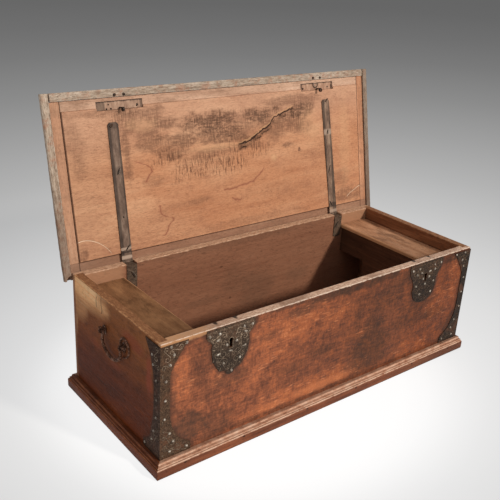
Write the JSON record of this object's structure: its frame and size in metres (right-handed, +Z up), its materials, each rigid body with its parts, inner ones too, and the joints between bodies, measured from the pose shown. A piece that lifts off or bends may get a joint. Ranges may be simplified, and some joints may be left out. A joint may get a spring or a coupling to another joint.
{
  "type": "wooden trunk",
  "caption": "Low boarded wooden trunk with iron corner straps, keyhole shields and bail handles, its framed lid open on strap hinges over lidded tills.",
  "frame": {"origin": "centre of the bounding box's foot, on the floor, with the lid open", "axes": "+X along the trunk's length towards its right end, -Y out of the front, +Z up"},
  "size_m": [1.2536, 0.6202, 0.876],
  "materials": {
    "carcass_wood": "old waxed surface, worn and stained",
    "plinth_wood": "old waxed surface, rubbed pale on the fillets",
    "till_wood": "bare, dusty",
    "lid_wood": "bare, stained",
    "lid_edge_wood": "weathered grey-brown",
    "forged_iron": "dark, pitted",
    "worn_iron": "grey-brown, rubbed"
  },
  "bodies": {
    "carcass": {"front_board": "carcass_wood", "back_board": "carcass_wood", "left_end_board": "carcass_wood", "right_end_board": "carcass_wood", "bottom_board_front": "carcass_wood", "bottom_board_middle": "carcass_wood", "bottom_board_rear": "carcass_wood", "plinth_front": "plinth_wood", "plinth_back": "plinth_wood", "plinth_left": "plinth_wood", "plinth_right": "plinth_wood", "corner_iron_left": "forged_iron", "corner_iron_right": "forged_iron", "escutcheon_left": "forged_iron", "escutcheon_right": "forged_iron", "lock_case_left": "forged_iron", "lock_case_right": "forged_iron", "till_bottom_left": "till_wood", "till_bottom_right": "till_wood", "till_wall_left": "till_wood", "partition_right": "till_wood", "handle_eye_left_front": "forged_iron", "handle_eye_left_rear": "forged_iron", "handle_eye_right_front": "forged_iron", "handle_eye_right_rear": "forged_iron", "hinge_leaf_left": "forged_iron", "hinge_leaf_right": "forged_iron", "hinge_pin_left": "worn_iron", "hinge_pin_right": "worn_iron"},
    "lid": {"lid_panel": "lid_wood", "lid_front_rail": "lid_wood", "lid_hinge_rail": "lid_wood", "lid_left_clamp": "lid_wood", "lid_right_clamp": "lid_wood", "lid_front_moulding": "lid_edge_wood", "lid_left_moulding": "lid_edge_wood", "lid_right_moulding": "lid_edge_wood", "hinge_strap_left": "worn_iron", "hinge_strap_right": "worn_iron", "lock_link_plate_left": "forged_iron", "lock_link_plate_right": "forged_iron", "lock_staple_left": "forged_iron", "lock_staple_right": "forged_iron"},
    "left_till_lid": {"till_lid_left": "till_wood"},
    "right_till_lid": {"till_lid_right": "till_wood"},
    "left_bail": {"handle_bail_left": "forged_iron"},
    "right_bail": {"handle_bail_right": "forged_iron"},
    "left_bolt": {"lock_bolt_left": "worn_iron"},
    "right_bolt": {"lock_bolt_right": "worn_iron"}
  },
  "joints": [
    {"name": "lid_hinge", "type": "hinge", "parent": "carcass", "child": "lid", "pos_m": [0, 0.19017, 0.379], "axis": [1, 0, 0], "range_deg": [0, 101.5]},
    {"name": "left_till_lid_hinge", "type": "hinge", "parent": "carcass", "child": "left_till_lid", "pos_m": [-0.564, -0.04983, 0.337], "axis": [0, 1, 0], "range_deg": [-94, 0]},
    {"name": "right_till_lid_hinge", "type": "hinge", "parent": "carcass", "child": "right_till_lid", "pos_m": [0.564, -0.04983, 0.337], "axis": [0, -1, 0], "range_deg": [-94, 0]},
    {"name": "left_bail_hinge", "type": "hinge", "parent": "carcass", "child": "left_bail", "pos_m": [-0.6107, -0.05733, 0.293], "axis": [0, 1, 0], "range_deg": [-5, 170]},
    {"name": "right_bail_hinge", "type": "hinge", "parent": "carcass", "child": "right_bail", "pos_m": [0.6107, -0.05733, 0.293], "axis": [0, -1, 0], "range_deg": [-5, 170]},
    {"name": "left_bolt_slide", "type": "slide", "parent": "carcass", "child": "left_bolt", "axis": [1, 0, 0], "range_m": [0, 0.013]},
    {"name": "right_bolt_slide", "type": "slide", "parent": "carcass", "child": "right_bolt", "axis": [1, 0, 0], "range_m": [0, 0.013]}
  ]
}
